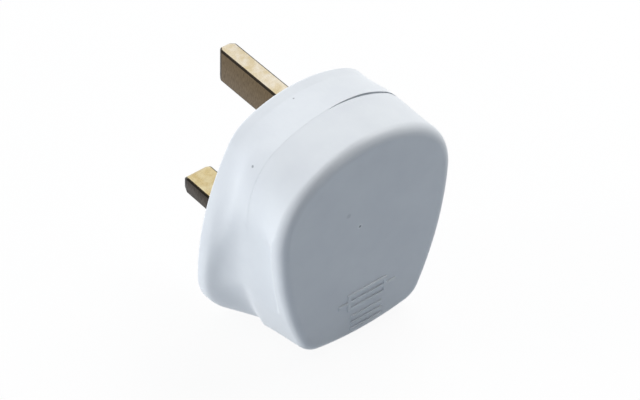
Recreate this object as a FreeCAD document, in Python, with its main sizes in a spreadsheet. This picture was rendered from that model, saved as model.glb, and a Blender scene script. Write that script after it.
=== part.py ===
"""A rewirable British three pin plug: two mouldings, three pins, fuse, terminals and cord grip.

Millimetres. The origin is on the engagement face, midway between the two line pins. X runs to the
right as the cover is looked at, +Y out along the pins, and Z up towards the earth pin. Depths are
measured from the engagement face towards the cover, so a depth of 5 lies at Y = -5.
"""
import FreeCAD, Part
import math
import os

import Sketcher
from FreeCAD import Placement, Rotation, Vector

# Driving sizes: alias, value, meaning.
SIZES = [
    # Outline of the flange on the engagement face
    ("rim_top", 31.6, "apex of the flange above the line pins"),
    ("rim_top_r", 30.0, "radius of its top arc"),
    ("rim_shoulder_r", 10.2, "radius of its shoulders"),
    ("rim_half_width", 24.6, "half of its greatest width"),
    ("rim_widest", -5.8, "height of its greatest width"),
    ("rim_side_r", 64.0, "radius of its sides"),
    ("rim_corner_r", 11.6, "radius of its lower corners"),
    ("rim_drop", 13.6, "its lowest point below the fuse"),
    ("rim_bottom_r", 65.0, "radius of its bottom arc"),
    # Outline where the two mouldings meet
    ("seam_top", 32.4, "apex of the casing at the seam"),
    ("seam_top_r", 28.4, "radius of its top arc"),
    ("seam_shoulder_r", 15.8, "radius of its shoulders"),
    ("seam_half_width", 22.5, "half of its greatest width"),
    ("seam_widest", 12.5, "height of its greatest width"),
    ("seam_side_r", 74.0, "radius of its sides"),
    ("seam_corner_r", 5.5, "radius of the cover's lower corners"),
    ("seam_drop", 13.5, "its lowest point below the fuse"),
    ("seam_bottom_r", 62.0, "radius of its bottom arc"),
    ("seam_base_side_r", 62.0, "radius of the base's sides at the seam"),
    ("seam_base_corner_r", 9.5, "radius of the base's lower corners at the seam"),
    # Outline of the cover's lip, where the front edge starts to round
    ("lip_top", 32.0, "apex of the lip"),
    ("lip_top_r", 27.0, "radius of its top arc"),
    ("lip_shoulder_r", 16.4, "radius of its shoulders"),
    ("lip_half_width", 21.85, "half of its greatest width"),
    ("lip_widest", 15.5, "height of its greatest width"),
    ("lip_side_r", 76.0, "radius of its sides"),
    ("lip_corner_r", 5.5, "radius of its lower corners"),
    ("lip_drop", 13.1, "its lowest point below the fuse"),
    ("lip_bottom_r", 60.0, "radius of its bottom arc"),
    # Depths and walls of the casing
    ("base_depth", 11.0, "depth of the seam"),
    ("cover_depth", 11.9, "from the seam to the front face"),
    ("front_round", 2.45, "depth of the straight band that the front edge is rounded from"),
    ("front_edge_r", 2.4, "radius of the front edge"),
    ("flange_thickness", 2.8, "straight part of the flange"),
    ("rim_round", 0.5, "rounding of the engagement face's edge"),
    ("floor_wall", 3.0, "thickness of the engagement face"),
    ("side_wall", 2.2, "thickness of the sides"),
    ("front_wall", 3.0, "thickness of the front face"),
    ("seam_gap", 0.35, "width of the groove along the seam at its apex"),
    ("seam_hinge", 8.0, "height above the line pins where the groove closes"),
    ("seat_width", 0.9, "width of the ledge that the cover sits on"),
    ("tongue_height", 1.2, "how far the cover's tongue reaches into the base"),
    ("tongue_wall", 0.9, "thickness of the tongue"),
    ("tongue_clearance", 0.12, "between the tongue and the base"),
    # Finger grips
    ("grip_reach", 9.3, "a grip's floor outside the middle of a line pin, at the seam"),
    ("grip_slope", 0.176, "how far a grip's floor draws in for each millimetre of depth"),
    ("grip_turn", 9.8, "depth where the sweep behind the flange meets the floor"),
    ("grip_radius", 12.0, "radius of that sweep"),
    ("grip_lip", 3.8, "thickness of the edge in front of a grip"),
    ("grip_wall", 1.5, "least thickness of the wall behind a grip"),
    # Pins
    ("pin_spacing", 22.23, "between the middles of the line pins"),
    ("earth_height", 22.23, "earth pin above the line pins"),
    ("earth_pin_width", 4.0, "across the earth pin"),
    ("earth_pin_tall", 8.0, "height of the earth pin's section"),
    ("earth_pin_length", 22.73, "length of the earth pin"),
    ("line_pin_width", 6.35, "across a line pin"),
    ("line_pin_tall", 4.0, "height of a line pin's section"),
    ("line_pin_length", 18.0, "length of a line pin"),
    ("pin_bevel", 1.2, "length of the bevel at a pin's tip"),
    ("pin_bevel_flat", 0.8, "how far the bevel draws in a pin's wide faces"),
    ("pin_bevel_edge", 0.35, "how far it draws in a pin's narrow faces"),
    ("sleeve_length", 9.3, "insulated part of a line pin"),
    ("sleeve_wall", 0.55, "thickness of a sleeve"),
    ("slot_clearance", 0.1, "round a pin in the base"),
    # Terminals
    ("terminal_width", 7.6, "across a terminal block"),
    ("terminal_tall", 9.0, "height of a terminal block"),
    ("terminal_depth", 9.0, "from the floor to the top of a block"),
    ("wire_hole_r", 1.8, "radius of a wire hole"),
    ("wire_hole_depth", 3.6, "middle of a wire hole above the floor"),
    ("terminal_screw_r", 1.75, "radius of a terminal screw"),
    ("terminal_head_r", 2.7, "radius of its head"),
    ("terminal_head_thick", 1.9, "thickness of its head"),
    ("screw_slot", 0.8, "width of a screw slot"),
    ("screw_slot_depth", 0.9, "depth of a screw slot"),
    ("thread_clearance", 0.03, "round a screw in its thread"),
    ("shank_lap", 0.2, "how far a shank runs into its head"),
    ("live_block_width", 6.4, "across the live terminal block"),
    ("live_block_tall", 5.0, "height of the live terminal block"),
    ("live_block_shift", 2.0, "live block's middle inwards of the fuse"),
    # Fuse and clips
    ("fuse_length", 25.4, "length of the fuse"),
    ("fuse_r", 3.175, "radius of a fuse cap"),
    ("fuse_cap_length", 6.0, "length of a cap"),
    ("fuse_cap_wall", 0.3, "thickness of a cap"),
    ("fuse_bore_r", 1.7, "radius of the bore of the tube"),
    ("fuse_wire_r", 0.2, "radius of the fuse wire"),
    ("fuse_top", 19.2, "upper end of the fuse above the line pins"),
    ("fuse_end_room", 0.6, "between the fuse's upper end and the live block"),
    ("clip_plate", 2.0, "thickness of the brass under a clip"),
    ("clip_wall", 0.6, "thickness of a clip"),
    ("clip_length", 5.0, "length of a clip along the fuse"),
    ("clip_mouth", 4.4, "opening of a clip"),
    ("rivet_r", 1.1, "radius of a rivet"),
    ("rivet_head_r", 1.8, "radius of its head"),
    ("rivet_head_thick", 0.7, "thickness of its head"),
    ("rivet_room", 0.5, "between a rivet's head and the fuse"),
    # Cord entry and grip
    ("entry_r", 4.5, "radius of the cord entry"),
    ("entry_flare", 0.8, "bevel at the mouth of the cord entry"),
    ("cord_post_x", 9.0, "middle of a cord grip post"),
    ("cord_post_r", 3.1, "radius of a post"),
    ("cord_post_drop", 5.1, "posts below the fuse"),
    ("cord_room", 6.5, "from the saddle to the cord grip bar"),
    ("cord_bar_tall", 6.0, "height of the bar"),
    ("cord_bar_thick", 3.0, "thickness of the bar"),
    ("cord_bar_length", 24.4, "length of the bar"),
    ("cord_saddle_depth", 3.5, "height of the saddle above the floor"),
    ("cord_saddle_thick", 1.5, "thickness of the saddle"),
    ("cord_screw_r", 1.45, "radius of a cord grip screw"),
    ("cord_screw_bite", 6.0, "length of its thread in the post"),
    ("pilot_spare", 0.6, "hole in the post beyond the screw's tip"),
    ("cord_head_r", 2.7, "radius of its head"),
    ("cord_head_thick", 1.8, "thickness of its head"),
    ("hole_clearance", 0.15, "round a screw that passes through"),
    # Cover screw
    ("cover_screw_height", 9.0, "cover screw above the line pins"),
    ("cover_screw_r", 2.0, "radius of the cover screw"),
    ("cover_head_r", 3.5, "radius of its head"),
    ("cover_head_thick", 2.2, "thickness of its head"),
    ("cover_head_sink", 1.0, "head below the engagement face"),
    ("pillar_r", 4.7, "radius of the pillar and the boss"),
    ("washer_r", 3.6, "radius of the captive washer"),
    ("washer_thick", 0.8, "thickness of the captive washer"),
    ("washer_play", 0.2, "between the washer and the boss"),
    ("nut_r", 3.0, "radius of the threaded insert"),
    ("nut_length", 5.0, "length of the threaded insert"),
    ("screw_reach", 4.0, "length of the screw in the insert"),
    # Ribs inside
    ("rib_thick", 1.0, "thickness of a rib"),
    ("rib_depth", 6.5, "height of a rib above the floor"),
    ("rib_root", 0.5, "how far a rib or post is sunk in the wall it stands on"),
    ("rib_gap", 0.8, "between a rib and the metal beside it"),
    ("hold_width", 4.5, "width of a hold down rib"),
    ("hold_clearance", 0.12, "between a hold down rib and what it holds"),
    # Raised fuse symbol on the front face
    ("mark_height", 0.3, "how far the symbol stands out"),
    ("mark_line", 0.75, "width of its lines"),
    ("mark_width", 10.0, "width of its frame"),
    ("mark_tall", 4.4, "height of its frame"),
    ("mark_lead", 2.4, "length of its leads"),
    ("mark_drop", 8.7, "its middle below the line pins"),
    ("mark_shift", 0.5, "its middle to the right of the middle"),
    ("dash_length", 8.0, "length of the dashes under the symbol"),
    ("dash_pitch", 1.7, "spacing of the dashes"),
    ("dash_drop", 13.0, "first dash below the line pins"),
]

doc = FreeCAD.newDocument("three_pin_plug")
sheet = doc.addObject("Spreadsheet::Sheet", "sizes")
for row, (alias, number, meaning) in enumerate(SIZES, start=1):
    sheet.set(f"A{row}", meaning)
    sheet.set(f"B{row}", str(number))
    sheet.setAlias(f"B{row}", alias)
doc.recompute()


class Dim:
    """A size worked out from the sheet: its expression and its present value."""

    def __init__(self, text, value):
        self.text = text
        self.value = value

    def _join(self, sign, other, value):
        return Dim(f"({self.text} {sign} {as_dim(other).text})", value)

    def __add__(self, other):
        return self._join("+", other, self.value + as_dim(other).value)

    def __sub__(self, other):
        return self._join("-", other, self.value - as_dim(other).value)

    def __mul__(self, other):
        return self._join("*", other, self.value * as_dim(other).value)

    def __truediv__(self, other):
        return self._join("/", other, self.value / as_dim(other).value)

    def __pow__(self, other):
        return self._join("^", other, self.value ** as_dim(other).value)

    def __neg__(self):
        return Dim(f"(0 - {self.text})", -self.value)


def as_dim(number):
    """A plain number as a Dim; a Dim is returned as it is."""
    return number if isinstance(number, Dim) else Dim(str(number), float(number))


class Sheet:
    """Gives each alias of the sheet as a Dim."""

    def __getattr__(self, alias):
        return Dim(f"sizes.{alias}", float(sheet.get(alias)))


S = Sheet()


def bind(thing, prop, dim):
    """Ties one property to the sheet."""
    thing.setExpression(prop, as_dim(dim).text)


def place(thing, x, depth, z):
    """Ties a primitive's corner or centre to the sheet."""
    for axis, dim in (("x", x), ("y", -as_dim(depth)), ("z", z)):
        bind(thing, f"Placement.Base.{axis}", dim)


def box(name, x, depth, z):
    """A block between two values in X, in depth and in Z."""
    block = doc.addObject("Part::Box", name)
    bind(block, "Length", as_dim(x[1]) - x[0])
    bind(block, "Width", as_dim(depth[1]) - depth[0])
    bind(block, "Height", as_dim(z[1]) - z[0])
    place(block, x[0], depth[1], z[0])
    return block


def about(middle, width):
    """The two ends of a span of the given width about its middle."""
    return as_dim(middle) - as_dim(width) / 2, as_dim(middle) + as_dim(width) / 2


def rod(name, radius, x, depth, z):
    """A cylinder along whichever of X, depth and Z is given as a pair."""
    shaft = doc.addObject("Part::Cylinder", name)
    if isinstance(x, tuple):
        span, turn = x, Rotation(Vector(0, 1, 0), 90)
    elif isinstance(depth, tuple):
        span, turn = depth, Rotation(Vector(1, 0, 0), 90)
    else:
        span, turn = z, Rotation()
    shaft.Placement = Placement(Vector(), turn)
    bind(shaft, "Radius", radius)
    bind(shaft, "Height", as_dim(span[1]) - span[0])
    place(shaft, *(v[0] if isinstance(v, tuple) else v for v in (x, depth, z)))
    return shaft


def taper(name, near, far):
    """A wedge between two rectangles, each given as its spans in the wedge's own X and Z, and its Y."""
    wedge = doc.addObject("Part::Wedge", name)
    wedge.Placement = Placement()
    for mark, (x, z, y) in (("", near), ("2", far)):
        for axis, span in (("X", x), ("Z", z)):
            bind(wedge, f"{axis}{mark}min", span[0])
            bind(wedge, f"{axis}{mark}max", span[1])
        bind(wedge, "Ymax" if mark else "Ymin", y)
    return wedge


def fuse(name, *shapes):
    """Several shapes as one."""
    joined = doc.addObject("Part::MultiFuse", name)
    joined.Shapes = list(shapes)
    joined.Refine = True
    return joined


def cut(name, base, *tools):
    """A shape with tools taken away from it."""
    taken = doc.addObject("Part::Cut", name)
    taken.Base = base
    taken.Tool = tools[0] if len(tools) == 1 else fuse(f"{name}_tools", *tools)
    taken.Refine = True
    return taken


def group(name, *shapes):
    """Separate like solids that share one node."""
    gathered = doc.addObject("Part::Compound", name)
    gathered.Links = list(shapes)
    return gathered


# Outlines of the casing, whose lower edge is placed from the lower end of the fuse

FIELDS = ("top", "top_r", "shoulder_r", "half_width", "widest", "side_r", "corner_r", "bottom_r")
FUSE_HIGH = S.fuse_top
FUSE_LOW = FUSE_HIGH - S.fuse_length
FUSE_MIDDLE = (FUSE_LOW + FUSE_HIGH) / 2


def named_outline(prefix):
    """An outline of the sheet, as a Dim for each field."""
    outline = {field: getattr(S, f"{prefix}_{field}") for field in FIELDS}
    return dict(outline, bottom=FUSE_LOW - getattr(S, f"{prefix}_drop"))


def inset(outline, distance):
    """An outline moved inwards by a distance, about the same arc centres."""
    return {
        field: dim if field == "widest" else dim + distance if field == "bottom" else dim - distance
        for field, dim in outline.items()
    }


def tangent_centre(first, first_r, second, second_r, radius, low):
    """Centre of an arc of the given radius that touches two larger arcs from inside, on the right."""
    reach, other = first_r - radius, second_r - radius
    span = second - first
    along = (reach ** 2 - other ** 2 + span.Length ** 2) / (2 * span.Length)
    aside = math.sqrt(reach ** 2 - along ** 2)
    unit = Vector(span).normalize()
    normal = Vector(-unit.y, unit.x, 0)
    sides = [first + unit * along + normal * aside * side for side in (1, -1)]
    return max(sides, key=lambda point: point.x + (-point.y if low else point.y))


def origin_plane(body, role):
    """One of a body's own origin planes."""
    return next(plane for plane in body.Origin.OriginFeatures if plane.Role == role)


def outline_sketch(body, name, outline, depth):
    """Draws a closed outline of eight tangent arcs at a depth, with every size tied to the sheet."""
    sketch = body.newObject("Sketcher::SketchObject", name)
    sketch.AttachmentSupport = (origin_plane(body, "XZ_Plane"), [""])
    sketch.MapMode = "FlatFace"
    bind(sketch, "AttachmentOffset.Base.z", depth)
    draw_outline(sketch, outline)
    return sketch


def draw_outline(sketch, outline):
    """Adds the eight arcs and their constraints to a sketch."""
    size = {field: dim.value for field, dim in outline.items()}
    top = Vector(0, size["top"] - size["top_r"])
    bottom = Vector(0, size["bottom"] + size["bottom_r"])
    side = Vector(size["half_width"] - size["side_r"], size["widest"])
    shoulder = tangent_centre(top, size["top_r"], side, size["side_r"], size["shoulder_r"], low=False)
    corner = tangent_centre(bottom, size["bottom_r"], side, size["side_r"], size["corner_r"], low=True)

    def angle(start, end):
        return math.atan2(end.y - start.y, end.x - start.x)

    a_top, a_side = angle(top, shoulder), angle(side, shoulder)
    a_low, a_bottom = angle(side, corner), angle(bottom, corner)
    half, turn = math.pi, 2 * math.pi

    def mirrored(point):
        return Vector(-point.x, point.y)

    arcs = [
        (top, size["top_r"], a_top, half - a_top),
        (mirrored(shoulder), size["shoulder_r"], half - a_top, half - a_side),
        (mirrored(side), size["side_r"], half - a_side, half - a_low),
        (mirrored(corner), size["corner_r"], half - a_low, half - a_bottom),
        (bottom, size["bottom_r"], half - a_bottom, turn + a_bottom),
        (corner, size["corner_r"], turn + a_bottom, turn + a_low),
        (side, size["side_r"], turn + a_low, turn + a_side),
        (shoulder, size["shoulder_r"], a_side, a_top),
    ]
    start, end, centre = 1, 2, 3
    origin, upright = (-1, 1), -2
    first = sketch.GeometryCount
    ids = [
        sketch.addGeometry(Part.ArcOfCircle(Part.Circle(at, Vector(0, 0, 1), radius), low, high))
        for at, radius, low, high in arcs
    ]
    top_id, shoulder_l, side_l, corner_l, bottom_id, corner_r, side_r, shoulder_r = ids

    def constrain(*args):
        return sketch.addConstraint(Sketcher.Constraint(*args))

    def dimension(field, dim, *args):
        index = constrain(*args, dim.value)
        sketch.renameConstraint(index, f"{field}_{first}")
        bind(sketch, f"Constraints.{field}_{first}", dim)

    for before, after in zip(ids, ids[1:] + ids[:1]):
        constrain("Tangent", before, end, after, start)
    constrain("PointOnObject", top_id, centre, upright)
    constrain("PointOnObject", bottom_id, centre, upright)
    constrain("Symmetric", side_l, centre, side_r, centre, upright)
    constrain("Equal", shoulder_l, shoulder_r)
    constrain("Equal", side_l, side_r)
    constrain("Equal", corner_l, corner_r)
    dimension("top_r", outline["top_r"], "Radius", top_id)
    dimension("shoulder_r", outline["shoulder_r"], "Radius", shoulder_l)
    dimension("side_r", outline["side_r"], "Radius", side_l)
    dimension("corner_r", outline["corner_r"], "Radius", corner_l)
    dimension("bottom_r", outline["bottom_r"], "Radius", bottom_id)
    dimension("top", outline["top"] - outline["top_r"], "DistanceY", *origin, top_id, centre)
    dimension("bottom", outline["bottom"] + outline["bottom_r"], "DistanceY", *origin, bottom_id, centre)
    dimension("half_width", outline["side_r"] - outline["half_width"], "DistanceX", *origin, side_l, centre)
    dimension("widest", outline["widest"], "DistanceY", *origin, side_l, centre)


def loft(body, name, sketches, ruled):
    """A solid through outlines in turn."""
    skin = body.newObject("PartDesign::AdditiveLoft", name)
    skin.Profile = sketches[0]
    skin.Sections = sketches[1:]
    skin.Ruled = ruled
    return skin


def pad(body, name, sketch, length):
    """A straight solid from an outline, towards the cover."""
    prism = body.newObject("PartDesign::Pad", name)
    prism.Profile = sketch
    bind(prism, "Length", length)
    return prism


def prism_body(name, outline, depth):
    """A body that is one straight prism between two depths."""
    body = doc.addObject("PartDesign::Body", name)
    pad(body, f"{name}_pad", outline_sketch(body, f"{name}_outline", outline, depth[0]),
        as_dim(depth[1]) - depth[0])
    return body


def round_edges_at(body, name, depth, radius):
    """Rounds the edges that lie at a depth."""
    doc.recompute()
    last = body.Tip
    edges = [
        f"Edge{index}"
        for index, edge in enumerate(last.Shape.Edges, start=1)
        if all(abs(vertex.Point.y + depth.value) < 1e-4 for vertex in edge.Vertexes)
    ]
    rounding = body.newObject("PartDesign::Fillet", name)
    rounding.Base = (last, edges)
    bind(rounding, "Radius", radius)
    return rounding


RIM = named_outline("rim")
COVER_SEAM = named_outline("seam")
BASE_SEAM = dict(COVER_SEAM, side_r=S.seam_base_side_r, corner_r=S.seam_base_corner_r)
LIP = named_outline("lip")
FACE_DEPTH = S.base_depth + S.cover_depth
LIP_DEPTH = FACE_DEPTH - S.front_round
CEILING = FACE_DEPTH - S.front_wall
GRIP_END = FACE_DEPTH - S.grip_lip
LIVE_X = S.pin_spacing / 2
NEUTRAL_X = -LIVE_X


def grip_x(depth):
    """Half of the width between the grips' floors at a depth."""
    return LIVE_X + S.grip_reach - S.grip_slope * (as_dim(depth) - S.base_depth)


# The inside clears the grips' floors and follows the narrower of the flange and the seam elsewhere.
INSIDE = {
    "top": S.rim_top - S.side_wall,
    "top_r": S.rim_top_r - S.side_wall,
    "shoulder_r": S.rim_shoulder_r - S.side_wall,
    "half_width": grip_x(GRIP_END) - S.grip_wall,
    "widest": FUSE_MIDDLE,
    "side_r": S.seam_side_r - S.side_wall,
    "corner_r": S.seam_base_corner_r - S.side_wall,
    "bottom": COVER_SEAM["bottom"] + S.side_wall,
    "bottom_r": S.seam_bottom_r - S.side_wall,
}
# Tools reach this far beyond what they cut, and some of them right past the casing.
OVERRUN = S.side_wall * 4
OUTSIDE = S.rim_half_width * 2

BLOCK_TOP = S.floor_wall + S.terminal_depth
WIRE_DEPTH = S.floor_wall + S.wire_hole_depth
CLIP_SEAT = S.floor_wall + S.clip_plate
FUSE_DEPTH = CLIP_SEAT + S.clip_wall + S.rivet_head_thick + S.rivet_room + S.fuse_r
CLIP_MIDDLES = {
    "lower": FUSE_LOW + S.fuse_cap_length / 2,
    "upper": FUSE_HIGH - S.fuse_cap_length / 2,
}
LIVE_BLOCK_X = LIVE_X - S.live_block_shift
LIVE_BLOCK_Z = FUSE_HIGH + S.fuse_end_room + S.live_block_tall / 2
CORD_BAR_DEPTH = S.floor_wall + S.cord_saddle_depth + S.cord_room
CORD_Z = FUSE_LOW - S.cord_post_drop
BOSS_DEPTH = S.base_depth + S.washer_thick + S.washer_play
HEAD_SEAT = S.cover_head_sink + S.cover_head_thick


def grip_tools(name):
    """The two channels down the sides that make the finger grips."""
    tall = (RIM["bottom"] - OVERRUN, S.lip_top + OVERRUN)
    slant = (S.grip_slope ** 2 + 1) ** 0.5
    sweep_x = grip_x(S.grip_turn) + S.grip_radius / slant
    sweep_depth = S.grip_turn + S.grip_radius * S.grip_slope / slant
    tools = []
    for word, side in (("left", -1), ("right", 1)):
        ends = []
        for depth, along in ((GRIP_END, as_dim(0)), (S.grip_turn, GRIP_END - S.grip_turn)):
            span = (grip_x(depth) * side, OUTSIDE * side)
            ends.append((span if side > 0 else span[::-1], tall, along))
        floor = taper(f"{name}_{word}_floor", *ends)
        place(floor, 0, GRIP_END, 0)
        tools += [rod(f"{name}_{word}_sweep", S.grip_radius, sweep_x * side, sweep_depth, tall), floor]
    return tools


def seam_groove():
    """The groove along the seam, which opens from nothing at the sides to its full width at the apex."""
    run = S.seam_top - S.seam_hinge
    across = (-OUTSIDE, OUTSIDE)
    near = (across, (S.base_depth, S.base_depth + OVERRUN), as_dim(0))
    far = (across, (S.base_depth - S.seam_gap * 2, S.base_depth + OVERRUN), run * 2)
    slit = taper("seam_slit", near, far)
    slit.Placement = Placement(Vector(), Rotation(Vector(1, 0, 0), 90))
    place(slit, 0, 0, S.seam_hinge)
    seat = prism_body("base_seat", inset(INSIDE, -S.seat_width), (0, S.base_depth + OVERRUN))
    return cut("seam_groove", slit, seat)


def cord_entry_tools(name):
    """The round cord entry in the bottom wall, with its bevelled mouth."""
    inner = INSIDE["bottom"] + S.tongue_clearance + S.tongue_wall + S.rib_root
    hole = rod(f"{name}_hole", S.entry_r, 0, S.base_depth, (RIM["bottom"] - OVERRUN, inner))
    mouth = doc.addObject("Part::Cone", f"{name}_mouth")
    bind(mouth, "Radius1", S.entry_r + S.entry_flare)
    bind(mouth, "Radius2", S.entry_r)
    bind(mouth, "Height", S.entry_flare)
    place(mouth, 0, S.base_depth, COVER_SEAM["bottom"])
    return [hole, mouth]


def line_slot(name, x, grow):
    """The space of a line pin's section through the engagement face, grown by a clearance."""
    return box(name, about(x, S.line_pin_width + grow * 2), (-OVERRUN, S.floor_wall),
               about(0, S.line_pin_tall + grow * 2))


def make_base():
    """The pin side moulding: flange, finger grips, pin slots, posts, pillar and ribs."""
    body = doc.addObject("PartDesign::Body", "base_form")
    pad(body, "base_flange", outline_sketch(body, "rim_outline", RIM, 0), S.flange_thickness)
    flare = [
        outline_sketch(body, "flange_outline", RIM, S.flange_thickness),
        outline_sketch(body, "base_seam_outline", BASE_SEAM, S.base_depth),
    ]
    loft(body, "base_loft", flare, ruled=True)
    round_edges_at(body, "base_rim_rounding", as_dim(0), S.rim_round)

    hollow = prism_body("base_hollow", INSIDE, (S.floor_wall, S.base_depth + OVERRUN))
    shell = cut("base_shell", body, hollow, seam_groove(), *grip_tools("base_grip"))

    floor = S.floor_wall - S.rib_root
    posts = [
        rod(f"cord_post_{word}", S.cord_post_r, S.cord_post_x * side, (floor, CORD_BAR_DEPTH), CORD_Z)
        for word, side in (("left", -1), ("right", 1))
    ]
    saddle = box("cord_saddle", (-S.cord_post_x, S.cord_post_x),
                 (floor, S.floor_wall + S.cord_saddle_depth), about(CORD_Z, S.cord_saddle_thick))
    pillar = rod("screw_pillar", S.pillar_r, 0, (floor, S.base_depth), S.cover_screw_height)
    rib_span = (floor, S.floor_wall + S.rib_depth)
    earth_side = (S.terminal_width / 2 + LIVE_BLOCK_X - S.live_block_width / 2) / 2
    ribs = [
        box(f"earth_rib_{word}", about(earth_side * side, S.rib_thick), rib_span,
            about(S.earth_height, S.terminal_tall))
        for word, side in (("left", -1), ("right", 1))
    ]
    clip_edge = LIVE_X - S.fuse_r - S.clip_wall
    rib_edge = clip_edge - S.rib_gap
    ribs.append(box("fuse_rib", (rib_edge - S.rib_thick, rib_edge), rib_span,
                    (FUSE_LOW, CLIP_MIDDLES["upper"] - S.clip_length / 2)))
    rib_high = -S.terminal_tall / 2 - S.rib_gap
    ribs.append(box("neutral_rib", about(NEUTRAL_X, S.terminal_width), rib_span,
                    (rib_high - S.rib_thick, rib_high)))
    solid = fuse("base_solid", shell, saddle, pillar, *posts, *ribs)

    grow = S.slot_clearance
    earth_slot = box("earth_slot", about(0, S.earth_pin_width + grow * 2), (-OVERRUN, S.floor_wall),
                     about(S.earth_height, S.earth_pin_tall + grow * 2))
    pilots = [
        rod(f"cord_pilot_{word}", S.cord_screw_r + S.thread_clearance, S.cord_post_x * side,
            (CORD_BAR_DEPTH - S.cord_screw_bite - S.pilot_spare, CORD_BAR_DEPTH + OVERRUN), CORD_Z)
        for word, side in (("left", -1), ("right", 1))
    ]
    screw_hole = rod("cover_screw_hole", S.cover_screw_r + S.hole_clearance, 0,
                     (-OVERRUN, S.base_depth + OVERRUN), S.cover_screw_height)
    head_hole = rod("cover_head_hole", S.cover_head_r + S.hole_clearance * 2, 0, (-OVERRUN, HEAD_SEAT),
                    S.cover_screw_height)
    return cut("base", solid, earth_slot, line_slot("live_slot", LIVE_X, grow),
               line_slot("neutral_slot", NEUTRAL_X, grow), *pilots, screw_hole, head_hole,
               *cord_entry_tools("base_entry"))


def make_cover():
    """The front moulding: plain face with its rounded edge, tongue, boss, hold down ribs and symbol."""
    body = doc.addObject("PartDesign::Body", "cover_form")
    seam = outline_sketch(body, "cover_seam_outline", COVER_SEAM, S.base_depth)
    lip = outline_sketch(body, "cover_lip_outline", LIP, LIP_DEPTH)
    loft(body, "cover_loft", [seam, lip], ruled=True)
    front = outline_sketch(body, "cover_front_outline", LIP, LIP_DEPTH)
    pad(body, "cover_front", front, S.front_round)
    round_edges_at(body, "cover_front_rounding", FACE_DEPTH, S.front_edge_r)

    hollow = prism_body("cover_hollow", INSIDE, (S.base_depth - OVERRUN, CEILING))
    shell = cut("cover_shell", body, hollow, *grip_tools("cover_grip"))

    root = prism_body("tongue_root", INSIDE, (S.base_depth, S.base_depth + S.tongue_height))
    tongue = prism_body("tongue_end", inset(INSIDE, S.tongue_clearance),
                        (S.base_depth - S.tongue_height, S.base_depth))
    bore = prism_body("tongue_bore", inset(INSIDE, S.tongue_clearance + S.tongue_wall),
                      (S.base_depth - OVERRUN, S.base_depth + OVERRUN))
    ring = cut("tongue", fuse("tongue_solid", root, tongue), bore)

    under = CEILING + S.rib_root
    boss = rod("cover_boss", S.pillar_r, 0, (BOSS_DEPTH, under), S.cover_screw_height)
    hold_span = (BLOCK_TOP + S.hold_clearance, under)
    holds = []
    for word, x, z in (("earth", as_dim(0), S.earth_height), ("neutral", NEUTRAL_X, as_dim(0))):
        for end, side in (("low", -1), ("high", 1)):
            middle = z + (S.terminal_tall / 2 - S.rib_thick / 2) * side
            holds.append(box(f"{word}_hold_{end}", about(x, S.hold_width), hold_span,
                             about(middle, S.rib_thick)))
    holds.append(box("fuse_hold", about(LIVE_X, S.hold_width),
                     (FUSE_DEPTH + S.fuse_r + S.hold_clearance, under), about(FUSE_MIDDLE, S.rib_thick)))

    solid = fuse("cover_solid", shell, ring, boss, *holds, *make_mark())
    nut_hole = rod("nut_hole", S.nut_r + S.thread_clearance, 0,
                   (BOSS_DEPTH - OVERRUN, BOSS_DEPTH + S.nut_length), S.cover_screw_height)
    return cut("cover", solid, nut_hole, *cord_entry_tools("cover_entry"))


def make_mark():
    """A raised fuse symbol, a frame with a line through it, over three plain dashes."""
    depth = (FACE_DEPTH - S.front_wall / 2, FACE_DEPTH + S.mark_height)
    middle = -S.mark_drop
    pieces = [
        box("mark_line", about(S.mark_shift, S.mark_width + S.mark_lead * 2), depth,
            about(middle, S.mark_line))
    ]
    for word, side in (("low", -1), ("high", 1)):
        height = middle + (S.mark_tall - S.mark_line) / 2 * side
        pieces.append(box(f"mark_bar_{word}", about(S.mark_shift, S.mark_width), depth,
                          about(height, S.mark_line)))
        across = S.mark_shift + (S.mark_width - S.mark_line) / 2 * side
        pieces.append(box(f"mark_end_{word}", about(across, S.mark_line), depth,
                          about(middle, S.mark_tall)))
    for number in range(3):
        height = -S.dash_drop - S.dash_pitch * number
        pieces.append(box(f"dash_{number}", about(S.mark_shift, S.dash_length), depth,
                          about(height, S.mark_line)))
    return pieces


def pin_blade(name, middle, section, draw_in, root, length):
    """A pin's blade, from a depth behind the engagement face to its bevelled tip."""
    shaft = box(f"{name}_shaft", about(middle[0], section[0]), (S.pin_bevel - length, root),
                about(middle[1], section[1]))
    wide = [about(0, size) for size in section]
    narrow = [about(0, size - inwards * 2) for size, inwards in zip(section, draw_in)]
    tip = taper(f"{name}_tip", (*wide, as_dim(0)), (*narrow, S.pin_bevel))
    place(tip, middle[0], S.pin_bevel - length, middle[1])
    return [shaft, tip]


def terminal_holes(name, x, z, wire_along_x=False):
    """The wire hole and the screw hole of a terminal block."""
    reach = S.terminal_tall
    wire_x = (as_dim(x) - reach, as_dim(x) + reach) if wire_along_x else x
    wire_z = z if wire_along_x else (as_dim(z) - reach, as_dim(z) + reach)
    wire = rod(f"{name}_wire_hole", S.wire_hole_r, wire_x, WIRE_DEPTH, wire_z)
    thread = rod(f"{name}_thread", S.terminal_screw_r + S.thread_clearance, x,
                 (WIRE_DEPTH, BLOCK_TOP + OVERRUN), z)
    return [wire, thread]


def make_earth_pin():
    """The long earth pin, with its terminal block inside the base."""
    z = S.earth_height
    block = box("earth_block", about(0, S.terminal_width), (S.floor_wall, BLOCK_TOP),
                about(z, S.terminal_tall))
    blade = pin_blade("earth_blade", (as_dim(0), z), (S.earth_pin_width, S.earth_pin_tall),
                      (S.pin_bevel_flat, S.pin_bevel_edge), S.floor_wall, S.earth_pin_length)
    return cut("earth_pin", fuse("earth_solid", block, *blade), *terminal_holes("earth", 0, z))


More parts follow.
